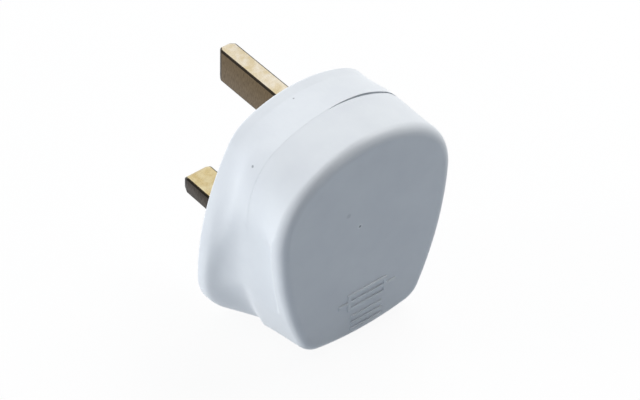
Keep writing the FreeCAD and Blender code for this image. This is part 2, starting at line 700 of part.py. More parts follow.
def line_blade(name, x):
    """A line pin's blade, with its neck drawn in under the sleeve."""
    neck = box(f"{name}_neck", about(x, S.line_pin_width - S.sleeve_wall * 2),
               (-S.sleeve_length, S.floor_wall), about(0, S.line_pin_tall - S.sleeve_wall * 2))
    return [neck, *pin_blade(name, (x, as_dim(0)), (S.line_pin_width, S.line_pin_tall),
                             (S.pin_bevel_edge, S.pin_bevel_flat), -S.sleeve_length, S.line_pin_length)]


def make_neutral_pin():
    """The neutral pin, with its terminal block inside the base."""
    block = box("neutral_block", about(NEUTRAL_X, S.terminal_width), (S.floor_wall, BLOCK_TOP),
                about(0, S.terminal_tall))
    solid = fuse("neutral_solid", block, *line_blade("neutral_blade", NEUTRAL_X))
    return cut("neutral_pin", solid, *terminal_holes("neutral", NEUTRAL_X, 0))


def make_live_pin():
    """The live pin, with the flat head that carries the lower fuse clip."""
    clip_z = CLIP_MIDDLES["lower"]
    head = box("live_head", about(LIVE_X, S.terminal_width), (S.floor_wall, CLIP_SEAT),
               (clip_z - S.clip_length / 2, S.terminal_tall / 2))
    solid = fuse("live_solid", head, *line_blade("live_blade", LIVE_X))
    hole = rod("live_rivet_hole", S.rivet_r + S.thread_clearance, LIVE_X,
               (S.floor_wall, CLIP_SEAT + OVERRUN), clip_z)
    return cut("live_pin", solid, hole)


def make_sleeve(name, x):
    """The insulating sleeve on the root of a line pin."""
    outer = box(f"{name}_outer", about(x, S.line_pin_width), (-S.sleeve_length, S.floor_wall),
                about(0, S.line_pin_tall))
    inner = box(f"{name}_inner", about(x, S.line_pin_width - S.sleeve_wall * 2),
                (-S.sleeve_length - OVERRUN, S.floor_wall + OVERRUN),
                about(0, S.line_pin_tall - S.sleeve_wall * 2))
    return cut(name, outer, inner)


def make_live_terminal():
    """The live terminal block, with the tongue that carries the upper fuse clip."""
    clip_z = CLIP_MIDDLES["upper"]
    block_low = LIVE_BLOCK_Z - S.live_block_tall / 2
    block = box("live_block", about(LIVE_BLOCK_X, S.live_block_width), (S.floor_wall, BLOCK_TOP),
                (block_low, block_low + S.live_block_tall))
    tongue = box("live_tongue", about(LIVE_X, S.fuse_r * 2), (S.floor_wall, CLIP_SEAT),
                 (clip_z - S.clip_length / 2, block_low + S.rib_thick))
    hole = rod("tongue_rivet_hole", S.rivet_r + S.thread_clearance, LIVE_X,
               (S.floor_wall - OVERRUN, CLIP_SEAT + OVERRUN), clip_z)
    return cut("live_terminal", fuse("live_terminal_solid", block, tongue), hole,
               *terminal_holes("live", LIVE_BLOCK_X, LIVE_BLOCK_Z, wire_along_x=True))


def make_fuse_clip(word):
    """A sprung clip: a flat foot, two arms and lips that close over the fuse cap."""
    name = f"{word}_fuse_clip"
    middle = CLIP_MIDDLES[word]
    span = about(middle, S.clip_length)
    wide = (S.fuse_r + S.clip_wall) * 2
    arms = box(f"{name}_arms", about(LIVE_X, wide), (CLIP_SEAT, FUSE_DEPTH), span)
    lips = rod(f"{name}_lips", S.fuse_r + S.clip_wall, LIVE_X, FUSE_DEPTH, span)
    room = (span[0] - OVERRUN, span[1] + OVERRUN)
    inside = box(f"{name}_inside", about(LIVE_X, S.fuse_r * 2),
                 (CLIP_SEAT + S.clip_wall, FUSE_DEPTH), room)
    seat = rod(f"{name}_seat", S.fuse_r, LIVE_X, FUSE_DEPTH, room)
    mouth = box(f"{name}_mouth", about(LIVE_X, S.clip_mouth), (FUSE_DEPTH, FUSE_DEPTH + OVERRUN), room)
    hole = rod(f"{name}_hole", S.rivet_r + S.thread_clearance, LIVE_X,
               (CLIP_SEAT - OVERRUN, FUSE_DEPTH), middle)
    return cut(name, fuse(f"{name}_solid", arms, lips), inside, seat, mouth, hole)


def make_rivets():
    """One rivet through the foot of each fuse clip."""
    rivets = []
    for word, middle in CLIP_MIDDLES.items():
        foot = CLIP_SEAT + S.clip_wall
        shank = rod(f"{word}_rivet_shank", S.rivet_r, LIVE_X, (S.floor_wall, foot + S.shank_lap), middle)
        head = rod(f"{word}_rivet_head", S.rivet_head_r, LIVE_X, (foot, foot + S.rivet_head_thick), middle)
        rivets.append(fuse(f"{word}_rivet", shank, head))
    return group("fuse_clip_rivets", *rivets)


def make_fuse():
    """The cartridge fuse: ceramic tube, wire and two pressed end caps."""
    inner = (FUSE_LOW + S.fuse_cap_wall, FUSE_HIGH - S.fuse_cap_wall)
    tube_r = S.fuse_r - S.fuse_cap_wall
    tube = cut("fuse_tube", rod("tube_outer", tube_r, LIVE_X, FUSE_DEPTH, inner),
               rod("tube_bore", S.fuse_bore_r, LIVE_X, FUSE_DEPTH, (FUSE_LOW, FUSE_HIGH)))
    wire = rod("fuse_wire", S.fuse_wire_r, LIVE_X, FUSE_DEPTH, inner)
    caps = []
    for name, span, hollow in (
        ("fuse_cap_lower", (FUSE_LOW, FUSE_LOW + S.fuse_cap_length), (inner[0], FUSE_LOW + OVERRUN)),
        ("fuse_cap_upper", (FUSE_HIGH - S.fuse_cap_length, FUSE_HIGH), (FUSE_HIGH - OVERRUN, inner[1])),
    ):
        caps.append(cut(name, rod(f"{name}_outer", S.fuse_r, LIVE_X, FUSE_DEPTH, span),
                        rod(f"{name}_inner", tube_r, LIVE_X, FUSE_DEPTH, hollow)))
    return [tube, wire, *caps]


def slotted_screw(name, radius, head_r, head, x, z, tip):
    """A slotted screw seen from the cover: its head between two depths, and its shank down to a tip."""
    shank = rod(f"{name}_shank", radius, x, (tip, head[0] + S.shank_lap), z)
    cap = rod(f"{name}_head", head_r, x, head, z)
    slot = box(f"{name}_slot", about(x, head_r * 2 + OVERRUN),
               (head[1] - S.screw_slot_depth, head[1] + OVERRUN), about(z, S.screw_slot))
    return cut(name, fuse(f"{name}_solid", shank, cap), slot)


def make_terminal_screws():
    """The clamping screws of the earth, neutral and live terminals."""
    places = (
        ("earth", 0, S.earth_height),
        ("neutral", NEUTRAL_X, 0),
        ("live", LIVE_BLOCK_X, LIVE_BLOCK_Z),
    )
    head = (BLOCK_TOP, BLOCK_TOP + S.terminal_head_thick)
    return group("terminal_screws", *(
        slotted_screw(f"{word}_screw", S.terminal_screw_r, S.terminal_head_r, head, x, z, WIRE_DEPTH)
        for word, x, z in places
    ))


def make_cord_grip():
    """The clamp bar over the flex and its two screws."""
    bar_top = CORD_BAR_DEPTH + S.cord_bar_thick
    bar = box("cord_bar_solid", about(0, S.cord_bar_length), (CORD_BAR_DEPTH, bar_top),
              about(CORD_Z, S.cord_bar_tall))
    holes, screws = [], []
    for word, side in (("left", -1), ("right", 1)):
        x = S.cord_post_x * side
        holes.append(rod(f"cord_bar_hole_{word}", S.cord_screw_r + S.hole_clearance, x,
                         (CORD_BAR_DEPTH - OVERRUN, bar_top + OVERRUN), CORD_Z))
        screws.append(slotted_screw(f"cord_screw_{word}", S.cord_screw_r, S.cord_head_r,
                                    (bar_top, bar_top + S.cord_head_thick), x, CORD_Z,
                                    CORD_BAR_DEPTH - S.cord_screw_bite))
    return [cut("cord_grip_bar", bar, *holes), group("cord_grip_screws", *screws)]


def make_cover_fixing():
    """The screw that holds the casing together, its captive washer and the insert it turns into."""
    z = S.cover_screw_height
    shank = rod("cover_shank", S.cover_screw_r, 0, (HEAD_SEAT - S.shank_lap, BOSS_DEPTH + S.screw_reach), z)
    head = rod("cover_head", S.cover_head_r, 0, (S.cover_head_sink, HEAD_SEAT), z)
    slot = box("cover_slot", about(0, S.cover_head_r * 2 + OVERRUN),
               (S.cover_head_sink - OVERRUN, S.cover_head_sink + S.screw_slot_depth), about(z, S.screw_slot))
    screw = cut("cover_screw", fuse("cover_screw_solid", shank, head), slot)

    bore_r = S.cover_screw_r + S.thread_clearance
    rings = []
    for name, radius, start, length in (
        ("cover_screw_washer", S.washer_r, S.base_depth, S.washer_thick),
        ("cover_nut", S.nut_r, BOSS_DEPTH, S.nut_length),
    ):
        outer = rod(f"{name}_outer", radius, 0, (start, start + length), z)
        bore = rod(f"{name}_bore", bore_r, 0, (start - OVERRUN, start + OVERRUN), z)
        rings.append(cut(name, outer, bore))
    return [screw, *rings]


def check(nodes):
    """Stops with the name of anything that failed to build."""
    for thing in doc.Objects:
        if "Invalid" in thing.State or "Error" in thing.State:
            raise RuntimeError(f"{thing.Name} failed: {thing.State}")
    for node in nodes:
        if node.Shape.isNull() or not node.Shape.isValid():
            raise RuntimeError(f"{node.Label} has no valid shape")


def main():
    """Builds every piece and writes one STEP file for each."""
    nodes = [
        make_base(),
        make_cover(),
        make_earth_pin(),
        make_neutral_pin(),
        make_live_pin(),
        make_sleeve("neutral_pin_sleeve", NEUTRAL_X),
        make_sleeve("live_pin_sleeve", LIVE_X),
        make_live_terminal(),
        make_fuse_clip("lower"),
        make_fuse_clip("upper"),
        make_rivets(),
        *make_fuse(),
        make_terminal_screws(),
        *make_cord_grip(),
        *make_cover_fixing(),
    ]
    doc.recompute()
    check(nodes)
    os.makedirs("parts", exist_ok=True)
    for node in nodes:
        node.Shape.exportStep(f"parts/{node.Label}.step")
        print(node.Label, len(node.Shape.Solids), round(node.Shape.Volume, 2))


main()
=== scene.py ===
"""Looks of a white three pin mains plug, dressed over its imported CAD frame."""
import logging
import math
from dataclasses import dataclass, field, replace
from enum import Enum
from itertools import product
from typing import Any, Callable, ClassVar

import bmesh
import bpy
import numpy as np
from mathutils import Matrix, Vector
from mathutils.bvhtree import BVHTree


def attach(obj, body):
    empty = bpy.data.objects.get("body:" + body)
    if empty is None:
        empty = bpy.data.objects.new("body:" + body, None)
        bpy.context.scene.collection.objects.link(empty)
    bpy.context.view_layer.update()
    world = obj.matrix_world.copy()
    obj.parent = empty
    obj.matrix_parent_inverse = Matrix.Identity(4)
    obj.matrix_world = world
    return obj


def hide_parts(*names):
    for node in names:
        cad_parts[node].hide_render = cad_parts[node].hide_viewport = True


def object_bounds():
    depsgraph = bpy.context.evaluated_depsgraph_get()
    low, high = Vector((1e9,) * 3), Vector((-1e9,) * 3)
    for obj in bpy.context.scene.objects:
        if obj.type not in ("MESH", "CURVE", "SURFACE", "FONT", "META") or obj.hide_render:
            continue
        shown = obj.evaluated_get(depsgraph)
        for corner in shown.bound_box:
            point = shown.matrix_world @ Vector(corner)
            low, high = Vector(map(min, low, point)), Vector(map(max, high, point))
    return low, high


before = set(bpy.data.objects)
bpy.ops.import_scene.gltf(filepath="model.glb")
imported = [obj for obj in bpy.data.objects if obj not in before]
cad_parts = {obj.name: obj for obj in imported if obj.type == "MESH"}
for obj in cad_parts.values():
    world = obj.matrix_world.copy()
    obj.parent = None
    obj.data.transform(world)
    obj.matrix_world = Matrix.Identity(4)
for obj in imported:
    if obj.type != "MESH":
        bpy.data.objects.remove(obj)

Point = tuple[float, float, float]
Span = tuple[float, float]

LOG = logging.getLogger("plug")
CAD_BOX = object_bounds()
MM = 0.001  # a millimetre in Blender's metres
WELD = 0.001  # points closer than this, in millimetres, are one
FLAT = 1.0  # faces that bend by less than this, in degrees, are one
UNIT: Span = (0.0, 1.0)
WHITE = "#FFFFFF"

# A colour mix has sockets for other data under the same names, so its own go by number.
SHARE, UNDER, OVER, MIXED = 0, 6, 7, 2


class Slot(Enum):
    """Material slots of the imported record."""

    CASING = "casing"
    PIN_BRASS = "pin_brass"
    PIN_SLEEVE = "pin_sleeve"
    TERMINAL_BRASS = "terminal_brass"
    CLIP_BRASS = "clip_brass"
    FUSE_CERAMIC = "fuse_ceramic"
    FUSE_ELEMENT = "fuse_element"
    FUSE_CAP = "fuse_cap"
    SCREW_STEEL = "screw_steel"
    FIBRE = "fibre"


class Half(Enum):
    """The two mouldings of the casing, by the CAD nodes that they stand for."""

    BASE = "base"
    COVER = "cover"


def linear(colour: str) -> tuple[float, float, float, float]:
    """Turns an sRGB hex colour to linear light.

    Args:
        colour: the colour as "#RRGGBB".

    Returns:
        Red, green, blue and an alpha of 1.
    """
    parts = [int(colour[i:i + 2], 16) / 255 for i in (1, 3, 5)]
    red, green, blue = (v / 12.92 if v <= 0.04045 else ((v + 0.055) / 1.055) ** 2.4 for v in parts)
    return red, green, blue, 1.0


def ramp(values: np.ndarray, span: Span) -> np.ndarray:
    """Rises smoothly from 0 to 1 over a span.

    Args:
        values: the numbers to place on the ramp.
        span: where the ramp starts and where it ends.

    Returns:
        A number from 0 to 1 for each value.
    """
    part = np.clip((values - span[0]) / (span[1] - span[0]), 0.0, 1.0)
    return part * part * (3 - 2 * part)


def limits(source: Span = UNIT, goal: Span = UNIT) -> dict[str, float]:
    """Gives the settings that carry one span over to another."""
    return {"From Min": source[0], "From Max": source[1], "To Min": goal[0], "To Max": goal[1]}


def add_node(tree: bpy.types.NodeTree, kind: str, settings: dict[Any, Any] | None = None,
             links: dict[Any, bpy.types.NodeSocket] | None = None) -> bpy.types.Node:
    """Adds one shader node.

    Args:
        tree: the node tree of a material or the world.
        kind: Blender's name for the node's type.
        settings: properties of the node, and values of its unlinked inputs by name or number.
        links: inputs by name or number, with the outputs that feed them.

    Returns:
        The new node.
    """
    node = tree.nodes.new(kind)
    for name, value in (settings or {}).items():
        if isinstance(name, str) and hasattr(node, name):
            setattr(node, name, value)
        else:
            node.inputs[name].default_value = value
    for name, source in (links or {}).items():
        tree.links.new(source, node.inputs[name])
    return node


@dataclass(frozen=True)
class Finish:
    """A finish with a patchy colour, uneven gloss and a fine grain.

    Sizes are in millimetres: patch is how wide the patches of the second colour are, grain how wide its
    fine marks are along X, Y and Z, and relief how deep they go. A spread is the part of a pattern's
    range that counts.
    """

    PATCH_SPREAD: ClassVar[Span] = (0.35, 0.68)
    GRAIN_SPREAD: ClassVar[Span] = (0.3, 0.7)

    name: str
    colour: str
    shade: str
    roughness: Span
    patch: float
    grain: Point
    relief: float
    metallic: float = 0.0
    ior: float = 1.5

    def make(self) -> bpy.types.Material:
        """Builds the material.

        Returns:
            The finished material.
        """
        material = bpy.data.materials.new(self.name)
        material.use_nodes = True
        tree = material.node_tree
        tree.nodes.clear()
        place = add_node(tree, "ShaderNodeTexCoord")
        patches = add_node(tree, "ShaderNodeTexNoise",
                           {"Scale": 1 / (self.patch * MM), "Detail": 4.0, "Roughness": 0.55},
                           {"Vector": place.outputs["Object"]})
        stretch = add_node(tree, "ShaderNodeMapping",
                           {"Scale": tuple(1 / (size * MM) for size in self.grain)},
                           {"Vector": place.outputs["Object"]})
        grain = add_node(tree, "ShaderNodeTexNoise", {"Scale": 1.0, "Detail": 3.0, "Roughness": 0.6},
                         {"Vector": stretch.outputs["Vector"]})
        colour = self.colour_of(tree, place, patches.outputs["Fac"], grain.outputs["Fac"])
        gloss = add_node(tree, "ShaderNodeMapRange", limits(self.GRAIN_SPREAD, self.roughness),
                         {"Value": grain.outputs["Fac"]})
        bump = add_node(tree, "ShaderNodeBump", {"Strength": 1.0, "Distance": self.relief * MM},
                        {"Height": grain.outputs["Fac"]})
        settings = {"Metallic": self.metallic} if self.metallic else {"IOR": self.ior}
        shader = add_node(tree, "ShaderNodeBsdfPrincipled", settings,
                          {"Base Color": colour, "Roughness": gloss.outputs["Result"],
                           "Normal": bump.outputs["Normal"]})
        add_node(tree, "ShaderNodeOutputMaterial", links={"Surface": shader.outputs["BSDF"]})
        return material

    def colour_of(self, tree: bpy.types.NodeTree, place: bpy.types.Node, patches: bpy.types.NodeSocket,
                  grain: bpy.types.NodeSocket) -> bpy.types.NodeSocket:
        """Mixes the colour with its shade in patches.

        Args:
            tree: the material's node tree.
            place: the texture coordinates.
            patches: the coarse pattern.
            grain: the fine pattern.

        Returns:
            The output that carries the colour.
        """
        spread = add_node(tree, "ShaderNodeMapRange", limits(self.PATCH_SPREAD), {"Value": patches})
        mixed = add_node(tree, "ShaderNodeMix",
                         {"data_type": "RGBA", UNDER: linear(self.colour), OVER: linear(self.shade)},
                         {SHARE: spread.outputs["Result"]})
        return mixed.outputs[MIXED]


@dataclass(frozen=True)
class Speck:
    """A small mark in a moulding.

    Its middle and how far it reaches are in millimetres. It is full strength over its core, a share of
    that reach, and fades from there.
    """

    middle: Point
    reach: float
    colour: str
    strength: float
    core: float = 0.35


@dataclass(frozen=True, kw_only=True)
class SpeckedMoulding(Finish):
    """A moulded finish with a few specks of dirt that were moulded in, and the mark of the mould's gate: a
    dark dot with a painted highlight around it, a pale ring for the light on the rim of the mark's relief.
    """

    specks: tuple[Speck, ...]

    def colour_of(self, tree: bpy.types.NodeTree, place: bpy.types.Node, patches: bpy.types.NodeSocket,
                  grain: bpy.types.NodeSocket) -> bpy.types.NodeSocket:
        """Lays the specks over the patchy colour.

        Args:
            tree: the material's node tree.
            place: the texture coordinates.
            patches: the coarse pattern.
            grain: the fine pattern.

        Returns:
            The output that carries the colour.
        """
        colour = super().colour_of(tree, place, patches, grain)
        for speck in self.specks:
            away = add_node(tree, "ShaderNodeVectorMath",
                            {"operation": "DISTANCE", 1: tuple(v * MM for v in speck.middle)},
                            {0: place.outputs["Object"]})
            fade = (speck.core * speck.reach * MM, speck.reach * MM)
            share = add_node(tree, "ShaderNodeMapRange",
                             {"interpolation_type": "SMOOTHSTEP"} | limits(fade, (speck.strength, 0.0)),
                             {"Value": away.outputs["Value"]})
            mixed = add_node(tree, "ShaderNodeMix", {"data_type": "RGBA", OVER: linear(speck.colour)},
                             {SHARE: share.outputs["Result"], UNDER: colour})
            colour = mixed.outputs[MIXED]
        return colour


@dataclass(frozen=True, kw_only=True)
class BlankedBrass(Finish):
    """Brass blanked from strip: the rolled faces stay bright, the sides cut by the shear take a dull brown
    that is partly their own and partly a painted reflection of dark surroundings, and the rounded edges
    between them take a painted shade.

    A facing says how squarely a surface looks sideways, from 0 to 1, where the side's colour or the edges'
    painted shade comes in. The edge shares say how strongly that painted shade shows on flat faces and on
    edges, and the pit shares how strongly the stains show on the rolled faces and on the cut sides.
    """

    SIDE_FACING: ClassVar[Span] = (0.45, 0.9)
    EDGE_FACING: ClassVar[Span] = (0.05, 0.2)
    EDGE_SHARES: ClassVar[Span] = (0.0, 0.95)
    PIT_SPREAD: ClassVar[Span] = (0.44, 0.66)
    PIT_SHARES: ClassVar[Span] = (0.16, 0.85)

    # The side colour is partly the real dullness of the cut and partly a painted reflection of dark
    # surroundings; the edge colour is painted shade.
    sheared_and_shaded: str
    stain: str
    edge_shade: str

    def colour_of(self, tree: bpy.types.NodeTree, place: bpy.types.Node, patches: bpy.types.NodeSocket,
                  grain: bpy.types.NodeSocket) -> bpy.types.NodeSocket:
        """Tells rolled faces, cut sides and the edges between them by the way that they face, and paints
        the sides' colour, partly painted reflection, and the edges' painted shade.

        Args:
            tree: the material's node tree.
            place: the texture coordinates.
            patches: the coarse pattern.
            grain: the fine pattern.

        Returns:
            The output that carries the colour.
        """
        colour = super().colour_of(tree, place, patches, grain)
        faces = add_node(tree, "ShaderNodeNewGeometry")
        turned = add_node(tree, "ShaderNodeVectorTransform",
                          {"vector_type": "NORMAL", "convert_from": "WORLD", "convert_to": "OBJECT"},
                          {"Vector": faces.outputs["True Normal"]})
        flat = add_node(tree, "ShaderNodeVectorMath", {"operation": "ABSOLUTE"},
                        {0: turned.outputs["Vector"]})
        facing = add_node(tree, "ShaderNodeSeparateXYZ", links={"Vector": flat.outputs["Vector"]})
        # Sideways faces take the side colour: partly the cut's real dullness, partly a painted reflection
        # of dark surroundings.
        side = add_node(tree, "ShaderNodeMapRange", limits(self.SIDE_FACING),
                        {"Value": facing.outputs["X"]})
        across = add_node(tree, "ShaderNodeMath", {"operation": "MAXIMUM"},
                          {0: facing.outputs["Y"], 1: facing.outputs["Z"]})
        corner = add_node(tree, "ShaderNodeMath", {"operation": "MULTIPLY"},
                          {0: facing.outputs["X"], 1: across.outputs["Value"]})
        # The rounded edges between sides and faces take a painted shade.
        edge = add_node(tree, "ShaderNodeMapRange", limits(self.EDGE_FACING, self.EDGE_SHARES),
                        {"Value": corner.outputs["Value"]})
        pits = add_node(tree, "ShaderNodeMapRange", limits(self.PIT_SPREAD), {"Value": grain})
        depth = add_node(tree, "ShaderNodeMapRange", limits(goal=self.PIT_SHARES),
                         {"Value": side.outputs["Result"]})
        stained = add_node(tree, "ShaderNodeMath", {"operation": "MULTIPLY"},
                           {0: pits.outputs["Result"], 1: depth.outputs["Result"]})
        for share, tint in ((side.outputs["Result"], self.sheared_and_shaded), (stained.outputs["Value"], self.stain),
                            (edge.outputs["Result"], self.edge_shade)):
            layer = add_node(tree, "ShaderNodeMix", {"data_type": "RGBA", OVER: linear(tint)},
                             {SHARE: share, UNDER: colour})
            colour = layer.outputs[MIXED]
        return colour


FINISHES: dict[Slot, Finish] = {
    # Urea formaldehyde, compression moulded: a hard, cool white with an even satin gloss and hardly any
    # texture.
    Slot.CASING: SpeckedMoulding(
        "white urea formaldehyde, moulded", "#E4E8EB", "#DFE3E7", roughness=(0.33, 0.40),
        patch=9.0, grain=(0.6, 0.6, 0.6), relief=0.0015,
        specks=(
            Speck((-3.58, -3.51, 31.56), 0.30, "#6E757B", 0.8),
            Speck((-17.64, -8.62, 25.06), 0.40, "#7B8187", 0.7),
            Speck((-5.05, -22.9, 15.33), 0.75, "#C9CED2", 0.7),
            # The pale ring around the gate's dark dot is a painted highlight, for the light on the rim of
            # the mark's relief.
            Speck((-2.03, -22.9, 10.95), 0.85, "#F3F6F8", 0.8),
            Speck((-2.03, -22.9, 10.95), 0.42, "#8A9096", 0.9),
        )),
    # Brass strip, blanked and tumbled: pale cream rolled faces, which is a painted highlight over pale
    # gold, and brown, grainy cut sides, partly the cut's own dullness and partly a painted reflection of
    # dark surroundings. The dark edges are painted shade.
    Slot.PIN_BRASS: BlankedBrass(
        "brass strip, blanked and tumbled", "#F5ECDA", "#E4D3AC", roughness=(0.32, 0.48),
        patch=2.2, grain=(0.20, 0.18, 1.1), relief=0.006, metallic=1.0,
        sheared_and_shaded="#736249", stain="#564935", edge_shade="#26201A"),
    # Nylon, moulded over the brass: near black with a low sheen.
    Slot.PIN_SLEEVE: Finish(
        "black nylon, moulded", "#1B1C1E", "#242527", roughness=(0.42, 0.52),
        patch=3.0, grain=(0.35, 0.35, 0.35), relief=0.003, ior=1.53),
    # Brass bar, turned and milled: warm yellow with cutter marks across the bar.
    Slot.TERMINAL_BRASS: Finish(
        "brass bar, machined", "#D3AC5E", "#B98F48", roughness=(0.24, 0.36),
        patch=2.0, grain=(1.6, 0.25, 0.25), relief=0.004, metallic=1.0),
    # Spring brass, pressed: a paler yellow with rolling lines along the strip.
    Slot.CLIP_BRASS: Finish(
        "spring brass, pressed", "#D8BA78", "#C29F5C", roughness=(0.20, 0.30),
        patch=3.0, grain=(0.25, 0.25, 1.8), relief=0.003, metallic=1.0),
    # Steatite, fired with a glaze: creamy white and glossy, slightly uneven where the glaze pooled.
    Slot.FUSE_CERAMIC: Finish(
        "steatite, glazed", "#EFEBE2", "#E3DDD0", roughness=(0.14, 0.24),
        patch=1.8, grain=(0.9, 0.9, 0.9), relief=0.003, ior=1.58),
    # Silvered copper wire, drawn: a bright thread with lines along it.
    Slot.FUSE_ELEMENT: Finish(
        "silvered copper wire, drawn", "#D9D4CB", "#C4B6A2", roughness=(0.16, 0.26),
        patch=0.8, grain=(0.1, 0.1, 1.2), relief=0.001, metallic=1.0),
    # Nickel on brass, plated: a warm grey mirror, slightly dulled by handling.
    Slot.FUSE_CAP: Finish(
        "nickel on brass, plated", "#CFC9BD", "#BDB5A6", roughness=(0.16, 0.28),
        patch=2.2, grain=(0.4, 0.4, 0.4), relief=0.002, metallic=1.0),
    # Zinc on steel, plated and passivated: a cool grey with a faint cloudiness.
    Slot.SCREW_STEEL: Finish(
        "zinc on steel, passivated", "#B9BEC2", "#A2A7A6", roughness=(0.26, 0.38),
        patch=1.2, grain=(0.3, 0.3, 0.3), relief=0.003, metallic=1.0),
    # Vulcanised fibre, punched from sheet: brick red and dry, with paper fibres in it.
    Slot.FIBRE: Finish(
        "vulcanised fibre, punched", "#8E3B2E", "#7A3026", roughness=(0.58, 0.72),
        patch=1.5, grain=(0.9, 0.18, 0.25), relief=0.010, ior=1.52),
}

# The same brass strip on the line pins, painted in shade: nearly black sides and edges painted for the
# shade that the lower pins lie in, and yellower faces with less painted highlight.
PAINTED_SHADE_BRASS = replace(
    FINISHES[Slot.PIN_BRASS], name="brass strip, blanked, with painted shade", colour="#EDDFB6", shade="#D9C38C",
    sheared_and_shaded="#443C34", stain="#2A2521", edge_shade="#1A1715")


def bare_copy(node: str, name: str) -> bpy.types.Object:
    """Copies a CAD node's points and faces into a new object, welded along the faces' shared edges.

    Args:
        node: the CAD node.
        name: the new object's name.

    Returns:
        The new object, in the scene.
    """
    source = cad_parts[node].data
    mesh = bpy.data.meshes.new(name)
    mesh.from_pydata([point.co for point in source.vertices], [],
                     [face.vertices[:] for face in source.polygons])
    form = bmesh.new()
    form.from_mesh(mesh)
    bmesh.ops.remove_doubles(form, verts=form.verts, dist=WELD * MM)
    form.to_mesh(mesh)
    form.free()
    piece = bpy.data.objects.new(name, mesh)
    bpy.context.scene.collection.objects.link(piece)
    return piece


def settle(piece: bpy.types.Object) -> None:
    """Bakes an object's modifiers into its mesh.

    Args:
        piece: the object.
    """
    graph = bpy.context.evaluated_depsgraph_get()
    mesh = bpy.data.meshes.new_from_object(piece.evaluated_get(graph))
    piece.modifiers.clear()
    piece.data = mesh


def finish(piece: bpy.types.Object, material: bpy.types.Material, crease: float) -> None:
    """Shades a piece, gives it its finish and lets it ride with the part.

    Args:
        piece: the new piece.
        material: its finish.
        crease: the angle in degrees from which an edge stays sharp.
    """
    piece.data.shade_smooth()
    piece.data.set_sharp_from_angle(angle=math.radians(crease))
    piece.data.materials.clear()
    piece.data.materials.append(material)
    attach(piece, "root")


def dress(piece: bpy.types.Object, node: str, material: bpy.types.Material,
          crease: float) -> None:
    """Finishes a piece and puts it in a CAD node's stead.

    Args:
        piece: the new piece.
        node: the CAD node that it stands for.
        material: its finish.
        crease: the angle in degrees from which an edge stays sharp.
    """
    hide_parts(node)
    finish(piece, material, crease)


